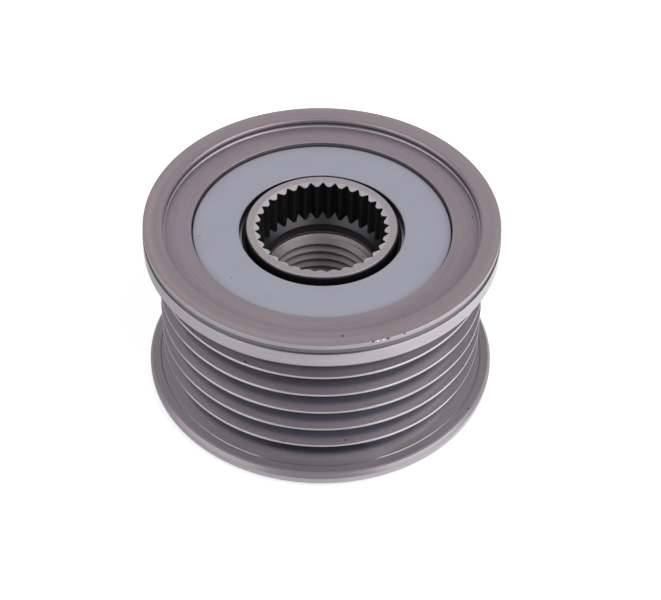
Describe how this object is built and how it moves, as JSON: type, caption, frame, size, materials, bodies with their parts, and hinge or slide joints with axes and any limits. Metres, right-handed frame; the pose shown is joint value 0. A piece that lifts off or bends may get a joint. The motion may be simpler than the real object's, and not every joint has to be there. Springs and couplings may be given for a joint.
{
  "type": "alternator pulley",
  "caption": "Grooved ring for a ribbed belt on a splined, threaded hub, with a one-way roller clutch and needle bearings inside.",
  "frame": {"origin": "middle of the hub's rear face, on the axis, at the bottom of the bounding box", "axes": "+Z along the axis towards the splined front end, X and Y across it"},
  "size_m": [0.0528, 0.0528, 0.0294],
  "materials": {
    "turned_steel": "turned steel with a thin brown-grey phosphate finish, bright at the flange land and the groove crests",
    "hub_steel": "machined steel, dark inside the spline",
    "zinc_grey_plate": "matt blue-grey zinc flake",
    "seal_rubber": "matt black",
    "hardened_steel": "ground",
    "ground_steel": "polished",
    "spring_steel": "spring temper",
    "cage_plastic": "glass-filled plastic, satin",
    "spacer_steel": "tumbled"
  },
  "bodies": {
    "hub": {"hub": "hub_steel", "ramp_sleeve": "hardened_steel", "clutch_cage": "cage_plastic", "clutch_spring_1": "spring_steel", "clutch_spring_2": "spring_steel", "clutch_spring_3": "spring_steel", "clutch_spring_4": "spring_steel", "clutch_spring_5": "spring_steel", "clutch_spring_6": "spring_steel", "clutch_spring_7": "spring_steel", "clutch_spring_8": "spring_steel"},
    "pulley": {"pulley_ring": "turned_steel", "clutch_sleeve": "hardened_steel", "front_plate": "zinc_grey_plate", "rear_plate": "zinc_grey_plate", "front_seal": "seal_rubber", "rear_seal": "seal_rubber", "front_spacer_ring": "spacer_steel", "rear_spacer_ring": "spacer_steel", "front_seal_washer": "spacer_steel", "rear_seal_washer": "spacer_steel"},
    "rear_needle_cage": {"rear_needle_cage": "cage_plastic"},
    "rear_needle_1": {"rear_needle_1": "ground_steel"},
    "rear_needle_2": {"rear_needle_2": "ground_steel"},
    "rear_needle_3": {"rear_needle_3": "ground_steel"},
    "rear_needle_4": {"rear_needle_4": "ground_steel"},
    "rear_needle_5": {"rear_needle_5": "ground_steel"},
    "rear_needle_6": {"rear_needle_6": "ground_steel"},
    "rear_needle_7": {"rear_needle_7": "ground_steel"},
    "rear_needle_8": {"rear_needle_8": "ground_steel"},
    "rear_needle_9": {"rear_needle_9": "ground_steel"},
    "rear_needle_10": {"rear_needle_10": "ground_steel"},
    "rear_needle_11": {"rear_needle_11": "ground_steel"},
    "rear_needle_12": {"rear_needle_12": "ground_steel"},
    "rear_needle_13": {"rear_needle_13": "ground_steel"},
    "rear_needle_14": {"rear_needle_14": "ground_steel"},
    "front_needle_cage": {"front_needle_cage": "cage_plastic"},
    "front_needle_1": {"front_needle_1": "ground_steel"},
    "front_needle_2": {"front_needle_2": "ground_steel"},
    "front_needle_3": {"front_needle_3": "ground_steel"},
    "front_needle_4": {"front_needle_4": "ground_steel"},
    "front_needle_5": {"front_needle_5": "ground_steel"},
    "front_needle_6": {"front_needle_6": "ground_steel"},
    "front_needle_7": {"front_needle_7": "ground_steel"},
    "front_needle_8": {"front_needle_8": "ground_steel"},
    "front_needle_9": {"front_needle_9": "ground_steel"},
    "front_needle_10": {"front_needle_10": "ground_steel"},
    "front_needle_11": {"front_needle_11": "ground_steel"},
    "front_needle_12": {"front_needle_12": "ground_steel"},
    "front_needle_13": {"front_needle_13": "ground_steel"},
    "front_needle_14": {"front_needle_14": "ground_steel"},
    "clutch_roller_1": {"clutch_roller_1": "ground_steel"},
    "clutch_roller_2": {"clutch_roller_2": "ground_steel"},
    "clutch_roller_3": {"clutch_roller_3": "ground_steel"},
    "clutch_roller_4": {"clutch_roller_4": "ground_steel"},
    "clutch_roller_5": {"clutch_roller_5": "ground_steel"},
    "clutch_roller_6": {"clutch_roller_6": "ground_steel"},
    "clutch_roller_7": {"clutch_roller_7": "ground_steel"},
    "clutch_roller_8": {"clutch_roller_8": "ground_steel"}
  },
  "joints": [
    {"name": "pulley_spin", "type": "hinge", "parent": "hub", "child": "pulley", "pos_m": [0, 0, 0.015], "axis": [0, 0, 1], "continuous": true},
    {"name": "rear_cage_spin", "type": "hinge", "parent": "hub", "child": "rear_needle_cage", "pos_m": [0, 0, 0.0084], "axis": [0, 0, 1], "continuous": true},
    {"name": "rear_needle_1_spin", "type": "hinge", "parent": "rear_needle_cage", "child": "rear_needle_1", "pos_m": [0.01436, 0, 0.0084], "axis": [0, 0, 1], "continuous": true},
    {"name": "rear_needle_2_spin", "type": "hinge", "parent": "rear_needle_cage", "child": "rear_needle_2", "pos_m": [0.01294, 0.00623, 0.0084], "axis": [0, 0, 1], "continuous": true},
    {"name": "rear_needle_3_spin", "type": "hinge", "parent": "rear_needle_cage", "child": "rear_needle_3", "pos_m": [0.00895, 0.01123, 0.0084], "axis": [0, 0, 1], "continuous": true},
    {"name": "rear_needle_4_spin", "type": "hinge", "parent": "rear_needle_cage", "child": "rear_needle_4", "pos_m": [0.0032, 0.014, 0.0084], "axis": [0, 0, 1], "continuous": true},
    {"name": "rear_needle_5_spin", "type": "hinge", "parent": "rear_needle_cage", "child": "rear_needle_5", "pos_m": [-0.0032, 0.014, 0.0084], "axis": [0, 0, 1], "continuous": true},
    {"name": "rear_needle_6_spin", "type": "hinge", "parent": "rear_needle_cage", "child": "rear_needle_6", "pos_m": [-0.00895, 0.01123, 0.0084], "axis": [0, 0, 1], "continuous": true},
    {"name": "rear_needle_7_spin", "type": "hinge", "parent": "rear_needle_cage", "child": "rear_needle_7", "pos_m": [-0.01294, 0.00623, 0.0084], "axis": [0, 0, 1], "continuous": true},
    {"name": "rear_needle_8_spin", "type": "hinge", "parent": "rear_needle_cage", "child": "rear_needle_8", "pos_m": [-0.01436, 0, 0.0084], "axis": [0, 0, 1], "continuous": true},
    {"name": "rear_needle_9_spin", "type": "hinge", "parent": "rear_needle_cage", "child": "rear_needle_9", "pos_m": [-0.01294, -0.00623, 0.0084], "axis": [0, 0, 1], "continuous": true},
    {"name": "rear_needle_10_spin", "type": "hinge", "parent": "rear_needle_cage", "child": "rear_needle_10", "pos_m": [-0.00895, -0.01123, 0.0084], "axis": [0, 0, 1], "continuous": true},
    {"name": "rear_needle_11_spin", "type": "hinge", "parent": "rear_needle_cage", "child": "rear_needle_11", "pos_m": [-0.0032, -0.014, 0.0084], "axis": [0, 0, 1], "continuous": true},
    {"name": "rear_needle_12_spin", "type": "hinge", "parent": "rear_needle_cage", "child": "rear_needle_12", "pos_m": [0.0032, -0.014, 0.0084], "axis": [0, 0, 1], "continuous": true},
    {"name": "rear_needle_13_spin", "type": "hinge", "parent": "rear_needle_cage", "child": "rear_needle_13", "pos_m": [0.00895, -0.01123, 0.0084], "axis": [0, 0, 1], "continuous": true},
    {"name": "rear_needle_14_spin", "type": "hinge", "parent": "rear_needle_cage", "child": "rear_needle_14", "pos_m": [0.01294, -0.00623, 0.0084], "axis": [0, 0, 1], "continuous": true},
    {"name": "front_cage_spin", "type": "hinge", "parent": "hub", "child": "front_needle_cage", "pos_m": [0, 0, 0.0213], "axis": [0, 0, 1], "continuous": true},
    {"name": "front_needle_1_spin", "type": "hinge", "parent": "front_needle_cage", "child": "front_needle_1", "pos_m": [0.01436, 0, 0.0213], "axis": [0, 0, 1], "continuous": true},
    {"name": "front_needle_2_spin", "type": "hinge", "parent": "front_needle_cage", "child": "front_needle_2", "pos_m": [0.01294, 0.00623, 0.0213], "axis": [0, 0, 1], "continuous": true},
    {"name": "front_needle_3_spin", "type": "hinge", "parent": "front_needle_cage", "child": "front_needle_3", "pos_m": [0.00895, 0.01123, 0.0213], "axis": [0, 0, 1], "continuous": true},
    {"name": "front_needle_4_spin", "type": "hinge", "parent": "front_needle_cage", "child": "front_needle_4", "pos_m": [0.0032, 0.014, 0.0213], "axis": [0, 0, 1], "continuous": true},
    {"name": "front_needle_5_spin", "type": "hinge", "parent": "front_needle_cage", "child": "front_needle_5", "pos_m": [-0.0032, 0.014, 0.0213], "axis": [0, 0, 1], "continuous": true},
    {"name": "front_needle_6_spin", "type": "hinge", "parent": "front_needle_cage", "child": "front_needle_6", "pos_m": [-0.00895, 0.01123, 0.0213], "axis": [0, 0, 1], "continuous": true},
    {"name": "front_needle_7_spin", "type": "hinge", "parent": "front_needle_cage", "child": "front_needle_7", "pos_m": [-0.01294, 0.00623, 0.0213], "axis": [0, 0, 1], "continuous": true},
    {"name": "front_needle_8_spin", "type": "hinge", "parent": "front_needle_cage", "child": "front_needle_8", "pos_m": [-0.01436, 0, 0.0213], "axis": [0, 0, 1], "continuous": true},
    {"name": "front_needle_9_spin", "type": "hinge", "parent": "front_needle_cage", "child": "front_needle_9", "pos_m": [-0.01294, -0.00623, 0.0213], "axis": [0, 0, 1], "continuous": true},
    {"name": "front_needle_10_spin", "type": "hinge", "parent": "front_needle_cage", "child": "front_needle_10", "pos_m": [-0.00895, -0.01123, 0.0213], "axis": [0, 0, 1], "continuous": true},
    {"name": "front_needle_11_spin", "type": "hinge", "parent": "front_needle_cage", "child": "front_needle_11", "pos_m": [-0.0032, -0.014, 0.0213], "axis": [0, 0, 1], "continuous": true},
    {"name": "front_needle_12_spin", "type": "hinge", "parent": "front_needle_cage", "child": "front_needle_12", "pos_m": [0.0032, -0.014, 0.0213], "axis": [0, 0, 1], "continuous": true},
    {"name": "front_needle_13_spin", "type": "hinge", "parent": "front_needle_cage", "child": "front_needle_13", "pos_m": [0.00895, -0.01123, 0.0213], "axis": [0, 0, 1], "continuous": true},
    {"name": "front_needle_14_spin", "type": "hinge", "parent": "front_needle_cage", "child": "front_needle_14", "pos_m": [0.01294, -0.00623, 0.0213], "axis": [0, 0, 1], "continuous": true},
    {"name": "clutch_roller_1_travel", "type": "slide", "parent": "hub", "child": "clutch_roller_1", "axis": [-0.1392, 0.9903, 0], "range_m": [0, 0.0009], "stiffness_N_per_m": 500, "springref_m": -0.001, "deforming": ["clutch_spring_1"]},
    {"name": "clutch_roller_2_travel", "type": "slide", "parent": "hub", "child": "clutch_roller_2", "axis": [-0.7986, 0.6018, 0], "range_m": [0, 0.0009], "stiffness_N_per_m": 500, "springref_m": -0.001, "deforming": ["clutch_spring_2"]},
    {"name": "clutch_roller_3_travel", "type": "slide", "parent": "hub", "child": "clutch_roller_3", "axis": [-0.9903, -0.1392, 0], "range_m": [0, 0.0009], "stiffness_N_per_m": 500, "springref_m": -0.001, "deforming": ["clutch_spring_3"]},
    {"name": "clutch_roller_4_travel", "type": "slide", "parent": "hub", "child": "clutch_roller_4", "axis": [-0.6018, -0.7986, 0], "range_m": [0, 0.0009], "stiffness_N_per_m": 500, "springref_m": -0.001, "deforming": ["clutch_spring_4"]},
    {"name": "clutch_roller_5_travel", "type": "slide", "parent": "hub", "child": "clutch_roller_5", "axis": [0.1392, -0.9903, 0], "range_m": [0, 0.0009], "stiffness_N_per_m": 500, "springref_m": -0.001, "deforming": ["clutch_spring_5"]},
    {"name": "clutch_roller_6_travel", "type": "slide", "parent": "hub", "child": "clutch_roller_6", "axis": [0.7986, -0.6018, 0], "range_m": [0, 0.0009], "stiffness_N_per_m": 500, "springref_m": -0.001, "deforming": ["clutch_spring_6"]},
    {"name": "clutch_roller_7_travel", "type": "slide", "parent": "hub", "child": "clutch_roller_7", "axis": [0.9903, 0.1392, 0], "range_m": [0, 0.0009], "stiffness_N_per_m": 500, "springref_m": -0.001, "deforming": ["clutch_spring_7"]},
    {"name": "clutch_roller_8_travel", "type": "slide", "parent": "hub", "child": "clutch_roller_8", "axis": [0.6018, 0.7986, 0], "range_m": [0, 0.0009], "stiffness_N_per_m": 500, "springref_m": -0.001, "deforming": ["clutch_spring_8"]}
  ],
  "couplings": [
    {"joint": "rear_cage_spin", "follows": "pulley_spin", "ratio": 0.54387},
    {"joint": "rear_needle_1_spin", "follows": "pulley_spin", "ratio": 5.6545},
    {"joint": "rear_needle_2_spin", "follows": "pulley_spin", "ratio": 5.6545},
    {"joint": "rear_needle_3_spin", "follows": "pulley_spin", "ratio": 5.6545},
    {"joint": "rear_needle_4_spin", "follows": "pulley_spin", "ratio": 5.6545},
    {"joint": "rear_needle_5_spin", "follows": "pulley_spin", "ratio": 5.6545},
    {"joint": "rear_needle_6_spin", "follows": "pulley_spin", "ratio": 5.6545},
    {"joint": "rear_needle_7_spin", "follows": "pulley_spin", "ratio": 5.6545},
    {"joint": "rear_needle_8_spin", "follows": "pulley_spin", "ratio": 5.6545},
    {"joint": "rear_needle_9_spin", "follows": "pulley_spin", "ratio": 5.6545},
    {"joint": "rear_needle_10_spin", "follows": "pulley_spin", "ratio": 5.6545},
    {"joint": "rear_needle_11_spin", "follows": "pulley_spin", "ratio": 5.6545},
    {"joint": "rear_needle_12_spin", "follows": "pulley_spin", "ratio": 5.6545},
    {"joint": "rear_needle_13_spin", "follows": "pulley_spin", "ratio": 5.6545},
    {"joint": "rear_needle_14_spin", "follows": "pulley_spin", "ratio": 5.6545},
    {"joint": "front_cage_spin", "follows": "pulley_spin", "ratio": 0.54387},
    {"joint": "front_needle_1_spin", "follows": "pulley_spin", "ratio": 5.6545},
    {"joint": "front_needle_2_spin", "follows": "pulley_spin", "ratio": 5.6545},
    {"joint": "front_needle_3_spin", "follows": "pulley_spin", "ratio": 5.6545},
    {"joint": "front_needle_4_spin", "follows": "pulley_spin", "ratio": 5.6545},
    {"joint": "front_needle_5_spin", "follows": "pulley_spin", "ratio": 5.6545},
    {"joint": "front_needle_6_spin", "follows": "pulley_spin", "ratio": 5.6545},
    {"joint": "front_needle_7_spin", "follows": "pulley_spin", "ratio": 5.6545},
    {"joint": "front_needle_8_spin", "follows": "pulley_spin", "ratio": 5.6545},
    {"joint": "front_needle_9_spin", "follows": "pulley_spin", "ratio": 5.6545},
    {"joint": "front_needle_10_spin", "follows": "pulley_spin", "ratio": 5.6545},
    {"joint": "front_needle_11_spin", "follows": "pulley_spin", "ratio": 5.6545},
    {"joint": "front_needle_12_spin", "follows": "pulley_spin", "ratio": 5.6545},
    {"joint": "front_needle_13_spin", "follows": "pulley_spin", "ratio": 5.6545},
    {"joint": "front_needle_14_spin", "follows": "pulley_spin", "ratio": 5.6545},
    {"joint": "clutch_roller_2_travel", "follows": "clutch_roller_1_travel", "ratio": 1},
    {"joint": "clutch_roller_3_travel", "follows": "clutch_roller_1_travel", "ratio": 1},
    {"joint": "clutch_roller_4_travel", "follows": "clutch_roller_1_travel", "ratio": 1},
    {"joint": "clutch_roller_5_travel", "follows": "clutch_roller_1_travel", "ratio": 1},
    {"joint": "clutch_roller_6_travel", "follows": "clutch_roller_1_travel", "ratio": 1},
    {"joint": "clutch_roller_7_travel", "follows": "clutch_roller_1_travel", "ratio": 1},
    {"joint": "clutch_roller_8_travel", "follows": "clutch_roller_1_travel", "ratio": 1}
  ]
}
